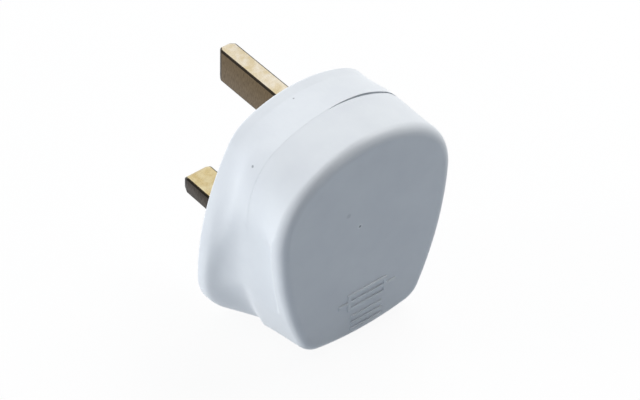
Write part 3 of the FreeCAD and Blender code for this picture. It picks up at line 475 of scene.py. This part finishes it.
@dataclass
class Casing:
    """The two white mouldings, with their edges softened as a polished mould leaves them.

    Sizes are in millimetres and angles in degrees. Depths are measured from the engagement face towards
    the hand, heights upwards and distances across from the middle. The outer sides are surveyed as
    distances from a middle line, by depth and angle, and that field is eased as one, so that the
    mouldings still meet at the seam. Each span says where something comes in or fades.
    """

    face: float = 22.9
    # The seam, with a gap that widens from its hinge's height up to its apex. It is drawn shut by one share
    # of that gap towards the neutral side and opened by another towards the live side.
    seam: float = 11.0
    seam_gap: float = 0.35
    seam_hinge: float = 8.0
    seam_apex: float = 32.4
    seam_shut: float = 0.85
    shut_span: Span = (-3.5, 2.5)
    seam_open: float = 1.2
    open_span: Span = (1.5, 10.0)
    edge_depths: Span = (9.0, 10.6)
    # The survey: the middle line's height, how far out it starts, its rows and columns, and the depths
    # where it would look into the seam.
    middle_height: float = 6.0
    reach: float = 40.0
    pitch: float = 0.25
    columns: int = 720
    blind_depths: Span = (10.6, 11.1)
    # Where the sides are softened: from the rim to the face, less past the lip, across the grips, below
    # the shoulders and not beside the seam's foot.
    rim_span: Span = (0.5, 1.0)
    face_span: Span = (0.3, 1.5)
    lip_span: Span = (17.5, 18.5)
    lip_share: float = 0.1
    grip_span: Span = (11.0, 15.0)
    shoulder_span: Span = (24.0, 29.0)
    foot_span: Span = (-17.0, -12.0)
    foot_depths: Span = (0.8, 2.5)
    # Where the grips' upper ends melt into the sides: above these heights, hardly on the base, and up to
    # the lip, which itself melts higher up.
    upper_blend: Span = (6.0, 18.0)
    blend_depths: Span = (7.0, 11.0)
    base_share: float = 0.04
    lip_start: float = 18.4
    lip_melt: float = 1.1
    melt_span: Span = (13.0, 19.0)
    lip_fade: Span = (0.0, 1.0)
    # How much is smoothed, from which share of it on a side gives way, and which points count as outer:
    # those within a skin of the sides around them.
    rounds: int = 36
    blend_rounds: int = 1400
    pace: float = 0.5
    give_span: Span = (0.0, 0.1)
    skin: float = 0.4
    rows_around: tuple[int, ...] = (-2, -1, 0, 1, 2)
    columns_around: tuple[int, ...] = (-2, -1, 0, 1)
    # The raised symbol: cut off a hair above the face, let in a hair below it, and its edges rounded.
    hair: float = 0.03
    symbol_corner: float = 40.0
    symbol_round: float = 0.08
    symbol_segments: int = 2
    # The meshes.
    mesh_levels: int = 8
    mesh_fill: float = 0.95
    kept_faces: float = 0.3
    crease: float = 32.0

    def build(self, material: bpy.types.Material) -> list[bpy.types.Object]:
        """Builds both mouldings and the symbol on the cover.

        Args:
            material: the casing's finish.

        Returns:
            The base, the cover and the symbol.
        """
        made = [bare_copy(half.value, f"{half.value}_moulding") for half in Half]
        before = self.survey(made)
        give, after = self.eased(before)
        for half, piece in zip(Half, made):
            remesh = piece.modifiers.new("even faces", "REMESH")
            remesh.mode = "SHARP"
            remesh.octree_depth = self.mesh_levels
            remesh.scale = self.mesh_fill
            remesh.sharpness = 1.0
            remesh.use_remove_disconnected = False
            settle(piece)
            self.ease(piece.data, before, after, give)
            if half is Half.BASE:
                self.set_seam(piece.data)
            else:
                self.clear_face(piece.data)
            thin = piece.modifiers.new("fewer faces", "DECIMATE")
            thin.ratio = self.kept_faces
            settle(piece)
            dress(piece, half.value, material, self.crease)
        return made + [self.raise_symbol(material)]

    def depths(self) -> np.ndarray:
        """Gives the depths of the survey's rows."""
        return np.arange(self.pitch, self.face, self.pitch)

    def turns(self) -> np.ndarray:
        """Gives the angles of the survey's columns, in radians from straight up."""
        return np.linspace(-math.pi, math.pi, self.columns, endpoint=False)

    def survey(self, pieces: list[bpy.types.Object]) -> np.ndarray:
        """Measures the outer sides from outside, across the seam.

        Args:
            pieces: bare copies of the mouldings.

        Returns:
            Distances from the middle line in millimetres, a row for each depth and a column for each angle.
        """
        trees = [BVHTree.FromPolygons([point.co for point in piece.data.vertices],
                                      [face.vertices[:] for face in piece.data.polygons])
                 for piece in pieces]
        depths = self.depths()
        sides = np.zeros((len(depths), self.columns))
        for column, turn in enumerate(self.turns()):
            away = Vector((math.sin(turn), 0.0, math.cos(turn)))
            for row, depth in enumerate(depths):
                start = Vector((0.0, -depth * MM, self.middle_height * MM)) + away * self.reach * MM
                hits = (tree.ray_cast(start, -away) for tree in trees)
                met = [gap for *_, gap in hits if gap is not None]
                sides[row, column] = self.reach - min(met) / MM if met else 0.0
        blind = (depths > self.blind_depths[0]) & (depths < self.blind_depths[1])
        for column in range(self.columns):
            sides[blind, column] = np.interp(depths[blind], depths[~blind], sides[~blind, column])
        return sides

    def eased(self, before: np.ndarray) -> tuple[np.ndarray, np.ndarray]:
        """Softens the surveyed sides, and melts the ends of the finger grips into them.

        Args:
            before: the surveyed distances.

        Returns:
            Where the sides give way, from 0 to 1, and the distances after easing.
        """
        depth = self.depths()[:, None] + np.zeros(self.columns)
        turn = self.turns()
        across, height = before * np.sin(turn), self.middle_height + before * np.cos(turn)
        share = ramp(depth, self.rim_span) * ramp(self.face - depth, self.face_span)
        share *= ramp(np.abs(across), self.grip_span) * (1 - ramp(height, self.shoulder_span))
        beside_seam = 1 - ramp(np.abs(depth - self.seam), self.foot_depths)
        share *= 1 - beside_seam * (1 - ramp(height, self.foot_span))
        lip = self.lip_start + self.lip_melt * ramp(height, self.melt_span)
        blend = share * ramp(height, self.upper_blend) ** 2 * (1 - ramp(depth - lip, self.lip_fade))
        blend *= self.base_share + (1 - self.base_share) * ramp(depth, self.blend_depths)
        share *= 1 - (1 - self.lip_share) * ramp(depth, self.lip_span)
        after = before.copy()
        for rounds, give in ((self.rounds, share), (self.blend_rounds, blend)):
            for _ in range(rounds):
                around = np.roll(after, 1, axis=1) + np.roll(after, -1, axis=1)
                around += np.vstack((after[:1], after[:-1])) + np.vstack((after[1:], after[-1:]))
                after += self.pace * give * (around / 4 - after)
        return ramp(np.maximum(share, blend), self.give_span), after

    def ease(self, mesh: bpy.types.Mesh, before: np.ndarray, after: np.ndarray, give: np.ndarray) -> None:
        """Moves a moulding's outer points to the eased distance at their place.

        Args:
            mesh: the moulding's even mesh.
            before: the surveyed distances.
            after: the eased distances.
            give: where the sides give way.
        """
        flat = np.empty(len(mesh.vertices) * 3)
        mesh.vertices.foreach_get("co", flat)
        points = flat.reshape(-1, 3)
        across, height = points[:, 0] / MM, points[:, 2] / MM - self.middle_height
        # The last row ends just short, so that every point has a row on either side.
        row = np.clip(-points[:, 1] / MM / self.pitch - 1, 0, len(before) - 1.001)
        column = (np.arctan2(across, height) / (2 * math.pi) + 0.5) * self.columns
        top, left = row.astype(int), column.astype(int)
        down, right = row - top, column - left
        left, beside = left % self.columns, (left + 1) % self.columns
        goal, share = ((table[top, left] * (1 - right) + table[top, beside] * right) * (1 - down)
                       + (table[top + 1, left] * (1 - right) + table[top + 1, beside] * right) * down
                       for table in (after, give))
        around = [np.roll(before, steps, axis=(0, 1))[top, left]
                  for steps in product(self.rows_around, self.columns_around)]
        away = np.hypot(across, height)
        outer = (away > np.min(around, axis=0) - self.skin) & (away < np.max(around, axis=0) + self.skin)
        target = np.where(outer, goal, np.minimum(away, goal))
        # Nothing that moves lies within 1 mm of the middle line, where the scale has no meaning.
        scale = 1 + share * (target - away) / np.maximum(away, 1.0)
        points[:, 0] = across * scale * MM
        points[:, 2] = (height * scale + self.middle_height) * MM
        mesh.vertices.foreach_set("co", points.ravel())
        mesh.update()

    def set_seam(self, mesh: bpy.types.Mesh) -> None:
        """Draws the base's edge up to the cover on the neutral side and away from it on the live side.

        Args:
            mesh: the base's mesh.
        """
        for point in mesh.vertices:
            x, depth, height = point.co.x / MM, -point.co.y / MM, point.co.z / MM
            if self.edge_depths[0] < depth < self.seam and height > self.seam_hinge:
                gap = self.seam_gap * (height - self.seam_hinge) / (self.seam_apex - self.seam_hinge)
                shut = self.seam_shut * ramp(np.array(-x), self.shut_span)
                shut -= self.seam_open * ramp(np.array(x), self.open_span)
                shift = gap * float(shut * ramp(np.array(depth), self.edge_depths))
                point.co.y = -min(self.seam, depth + shift) * MM

    def clear_face(self, mesh: bpy.types.Mesh) -> None:
        """Lays the cover's even mesh flat where the symbol stands, which gets a finer mesh of its own."""
        for point in mesh.vertices:
            point.co.y = max(point.co.y, -self.face * MM)

    def raise_symbol(self, material: bpy.types.Material) -> bpy.types.Object:
        """Takes the raised symbol off the CAD cover, with its edges eased.

        Args:
            material: the casing's finish.

        Returns:
            The symbol.
        """
        piece = bare_copy(Half.COVER.value, "front_symbol")
        form = bmesh.new()
        form.from_mesh(piece.data)
        bmesh.ops.bisect_plane(form, geom=form.verts[:] + form.edges[:] + form.faces[:],
                               plane_co=(0.0, -(self.face + self.hair) * MM, 0.0),
                               plane_no=(0.0, -1.0, 0.0), clear_inner=True)
        bmesh.ops.dissolve_limit(form, angle_limit=math.radians(FLAT), verts=form.verts, edges=form.edges)
        rim = [edge for edge in form.edges if edge.is_boundary]
        for point in {point for edge in rim for point in edge.verts}:
            point.co.y = -(self.face - self.hair) * MM
        bmesh.ops.holes_fill(form, edges=rim)
        edges = [edge for edge in form.edges if edge.calc_face_angle(0.0) > math.radians(self.symbol_corner)
                 and max(point.co.y for point in edge.verts) < -self.face * MM]
        bmesh.ops.bevel(form, geom=edges, offset=self.symbol_round * MM, offset_type="OFFSET",
                        segments=self.symbol_segments, profile=0.5, affect="EDGES", clamp_overlap=True)
        form.to_mesh(piece.data)
        form.free()
        finish(piece, material, self.crease)
        return piece


@dataclass
class PinSet:
    """The three brass pins and the sleeves on the two line pins, with their long edges rounded.

    Sizes are in millimetres and angles in degrees. The bare parts start at the depths given, past the
    engagement face.
    """

    earth_bare: float = 1.0
    line_bare: float = 9.5
    pin_round: float = 0.4
    sleeve_round: float = 0.2
    sleeve_corner: float = 1.9
    sharp: float = 20.0
    segments: int = 3
    crease: float = 40.0

    def build(self, brass: bpy.types.Material, nylon: bpy.types.Material) -> list[bpy.types.Object]:
        """Builds the pins and sleeves.

        Args:
            brass: the earth pin's finish.
            nylon: the sleeves' finish.

        Returns:
            The five pieces.
        """
        made = []
        # The line pins take the copy of the brass with painted shade, darker for the shade that they lie
        # in.
        shaded_brass = PAINTED_SHADE_BRASS.make()
        for node, bare, metal in (("earth_pin", self.earth_bare, brass),
                                  ("neutral_pin", self.line_bare, shaded_brass),
                                  ("live_pin", self.line_bare, shaded_brass)):
            piece = self.rounded(node, f"{node}_blade", self.pin_round,
                                 lambda ends, bare=bare: max(end.y for end in ends) > bare * MM)
            dress(piece, node, metal, self.crease)
            made.append(piece)
        for node in ("neutral_pin_sleeve", "live_pin_sleeve"):
            piece = self.rounded(node, f"{node}_moulding", self.sleeve_round,
                                 lambda ends: min(abs(end.z) for end in ends) > self.sleeve_corner * MM)
            dress(piece, node, nylon, self.crease)
            made.append(piece)
        return made

    def rounded(self, node: str, name: str, radius: float,
                chosen: Callable[[list[Vector]], bool]) -> bpy.types.Object:
        """Copies a CAD node and rounds some of its sharp edges.

        Args:
            node: the CAD node.
            name: the new piece's name.
            radius: the rounding, in millimetres.
            chosen: says from the ends of a sharp edge whether it is rounded.

        Returns:
            The new piece.
        """
        piece = bare_copy(node, name)
        form = bmesh.new()
        form.from_mesh(piece.data)
        bmesh.ops.dissolve_limit(form, angle_limit=math.radians(FLAT), verts=form.verts, edges=form.edges)
        edges = [edge for edge in form.edges
                 if len(edge.link_faces) == 2 and edge.calc_face_angle() > math.radians(self.sharp)
                 and chosen([end.co for end in edge.verts])]
        bmesh.ops.bevel(form, geom=edges, offset=radius * MM, offset_type="OFFSET", segments=self.segments,
                        profile=0.5, affect="EDGES", clamp_overlap=True)
        form.to_mesh(piece.data)
        form.free()
        return piece


@dataclass
class Fittings:
    """The pieces inside the casing and in its engagement face, which keep their CAD shapes."""

    nodes: dict[Slot, tuple[str, ...]] = field(default_factory=lambda: {
        Slot.TERMINAL_BRASS: ("live_terminal", "fuse_clip_rivets", "cover_nut"),
        Slot.CLIP_BRASS: ("lower_fuse_clip", "upper_fuse_clip"),
        Slot.FUSE_CERAMIC: ("fuse_tube",),
        Slot.FUSE_ELEMENT: ("fuse_wire",),
        Slot.FUSE_CAP: ("fuse_cap_lower", "fuse_cap_upper"),
        Slot.SCREW_STEEL: ("terminal_screws", "cord_grip_screws", "cover_screw"),
        Slot.FIBRE: ("cord_grip_bar", "cover_screw_washer"),
    })

    def dress(self, materials: dict[Slot, bpy.types.Material]) -> list[bpy.types.Object]:
        """Gives each CAD node its finish.

        Args:
            materials: the finish of each slot.

        Returns:
            The CAD nodes.
        """
        dressed = []
        for slot, names in self.nodes.items():
            for name in names:
                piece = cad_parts[name]
                for place in piece.material_slots:
                    place.material = materials[slot]
                dressed.append(piece)
        return dressed


@dataclass(frozen=True)
class Lamp:
    """A square soft lamp.

    The way leads from the object to the lamp. Its distance and side are in metres and its power in
    watts, and shine says whether it shows as a highlight.
    """

    name: str
    way: Point
    distance: float
    side: float
    power: float
    shine: bool


@dataclass
class Studio:
    """A white floor, soft lamps and the photograph's camera.

    Angles are in degrees and sizes in metres, except the camera's lens and sensor, in millimetres. The
    sky's light rises between its two levels, over a span from facing away from it to facing it.
    """

    azimuth: float = -40.53
    elevation: float = 42.42
    roll: float = 1.90
    distance: float = 0.640
    aim: Point = (0.00546, -0.00185, -0.0015)
    lens: float = 177.7
    sensor: float = 36.0
    clip: Span = (0.01, 10.0)
    floor_size: float = 3.0
    paper: str = "#FAFAFA"
    bounce: str = "#BFC9D4"
    glow: float = 0.93
    sky: str = "#F4F8FF"
    sky_from: Point = (-0.50, 0.55, 0.65)
    sky_span: Span = (-0.30, 1.0)
    sky_levels: Span = (0.0, 0.65)
    lamps: tuple[Lamp, ...] = (
        Lamp("key", (0.62, 0.32, 0.72), distance=1.2, side=0.8, power=8.6, shine=False),
        Lamp("rake", (0.62, -0.12, 0.76), distance=1.2, side=0.5, power=3.0, shine=True),
        Lamp("side", (-0.80, 0.50, 0.12), distance=1.6, side=0.35, power=16.0, shine=False),
    )

    def build(self) -> None:
        """Builds the floor, the world, the lamps and the camera."""
        self.lay_floor()
        self.light_world()
        for lamp in self.lamps:
            self.hang(lamp)
        self.set_camera()
        bpy.context.scene.view_settings.view_transform = "Standard"

    def seen(self, tree: bpy.types.NodeTree) -> bpy.types.NodeSocket:
        """Tells rays that show the background from those that light the object.

        Args:
            tree: the node tree of the floor or the world.

        Returns:
            An output that is 1 for camera, glossy and transmission rays.
        """
        path = add_node(tree, "ShaderNodeLightPath")
        direct = add_node(tree, "ShaderNodeMath", {"operation": "MAXIMUM"},
                          {0: path.outputs["Is Camera Ray"], 1: path.outputs["Is Glossy Ray"]})
        every = add_node(tree, "ShaderNodeMath", {"operation": "MAXIMUM"},
                         {0: direct.outputs["Value"], 1: path.outputs["Is Transmission Ray"]})
        return every.outputs["Value"]

    def lay_floor(self) -> None:
        """Lays the floor under the object.

        It is white to look at, with the object's shadow on it, and pale grey in the light that it returns.
        """
        level = CAD_BOX[0].z
        half = self.floor_size / 2
        mesh = bpy.data.meshes.new("floor")
        mesh.from_pydata([(-half, -half, level), (half, -half, level), (half, half, level),
                          (-half, half, level)], [], [(0, 1, 2, 3)])
        floor = bpy.data.objects.new("floor", mesh)
        bpy.context.scene.collection.objects.link(floor)
        material = bpy.data.materials.new("white paper")
        material.use_nodes = True
        tree = material.node_tree
        tree.nodes.clear()
        bounce = add_node(tree, "ShaderNodeBsdfDiffuse", {"Color": linear(self.bounce)})
        paper = add_node(tree, "ShaderNodeBsdfDiffuse", {"Color": linear(self.paper)})
        glow = add_node(tree, "ShaderNodeEmission", {"Color": linear(WHITE), "Strength": 1.0})
        white = add_node(tree, "ShaderNodeMixShader", {0: self.glow},
                         {1: paper.outputs["BSDF"], 2: glow.outputs["Emission"]})
        mixed = add_node(tree, "ShaderNodeMixShader", links={
            0: self.seen(tree), 1: bounce.outputs["BSDF"], 2: white.outputs["Shader"]})
        add_node(tree, "ShaderNodeOutputMaterial", links={"Surface": mixed.outputs["Shader"]})
        mesh.materials.append(material)

    def light_world(self) -> None:
        """Gives the world its soft light, and a white backdrop to look at."""
        world = bpy.data.worlds.new("studio")
        world.use_nodes = True
        tree = world.node_tree
        tree.nodes.clear()
        way = add_node(tree, "ShaderNodeTexCoord")
        toward = add_node(tree, "ShaderNodeVectorMath",
                          {"operation": "DOT_PRODUCT", 1: tuple(Vector(self.sky_from).normalized())},
                          {0: way.outputs["Generated"]})
        level = add_node(tree, "ShaderNodeMapRange", limits(self.sky_span, self.sky_levels),
                         {"Value": toward.outputs["Value"]})
        soft = add_node(tree, "ShaderNodeBackground", {"Color": linear(self.sky)},
                        {"Strength": level.outputs["Result"]})
        white = add_node(tree, "ShaderNodeBackground", {"Color": linear(WHITE), "Strength": 1.0})
        mixed = add_node(tree, "ShaderNodeMixShader", links={
            0: self.seen(tree), 1: soft.outputs["Background"], 2: white.outputs["Background"]})
        add_node(tree, "ShaderNodeOutputWorld", links={"Surface": mixed.outputs["Shader"]})
        bpy.context.scene.world = world

    def hang(self, lamp: Lamp) -> None:
        """Hangs a lamp so that it shines on the object's middle.

        Args:
            lamp: the lamp.
        """
        light = bpy.data.lights.new(lamp.name, "AREA")
        light.size = lamp.side
        light.energy = lamp.power
        holder = bpy.data.objects.new(lamp.name, light)
        away = Vector(lamp.way).normalized()
        holder.location = Vector(self.aim) + away * lamp.distance
        holder.rotation_euler = away.to_track_quat("Z", "Y").to_euler()
        holder.visible_glossy = lamp.shine
        bpy.context.scene.collection.objects.link(holder)

    def set_camera(self) -> None:
        """Sets up the camera where the photograph was taken from."""
        turn, rise, lean = (math.radians(v) for v in (self.azimuth, self.elevation, self.roll))
        back = Vector((math.sin(turn) * math.cos(rise), -math.cos(turn) * math.cos(rise), math.sin(rise)))
        level = Vector((math.cos(turn), math.sin(turn), 0.0))
        upward = back.cross(level)
        right = level * math.cos(lean) + upward * math.sin(lean)
        up = upward * math.cos(lean) - level * math.sin(lean)
        data = bpy.data.cameras.new("camera")
        data.lens = self.lens
        data.sensor_width = self.sensor
        data.sensor_fit = "HORIZONTAL"
        data.clip_start, data.clip_end = self.clip
        camera = bpy.data.objects.new("camera", data)
        axes = Matrix((right, up, back)).transposed().to_4x4()
        camera.matrix_world = Matrix.Translation(Vector(self.aim) + back * self.distance) @ axes
        bpy.context.scene.collection.objects.link(camera)
        bpy.context.scene.camera = camera


def main() -> None:
    """Builds the casing, the pins, the fittings and the studio, and logs each piece's faces and finish."""
    logging.basicConfig(level=logging.INFO, format="%(name)s: %(message)s")
    materials = {slot: look.make() for slot, look in FINISHES.items()}
    pieces = Casing().build(materials[Slot.CASING])
    pieces += PinSet().build(materials[Slot.PIN_BRASS], materials[Slot.PIN_SLEEVE])
    pieces += Fittings().dress(materials)
    for piece in pieces:
        LOG.info("%s: %d faces, %s", piece.name, len(piece.data.polygons), piece.active_material.name)
    Studio().build()
    LOG.info("sizes noted")


if __name__ == "__main__":
    main()
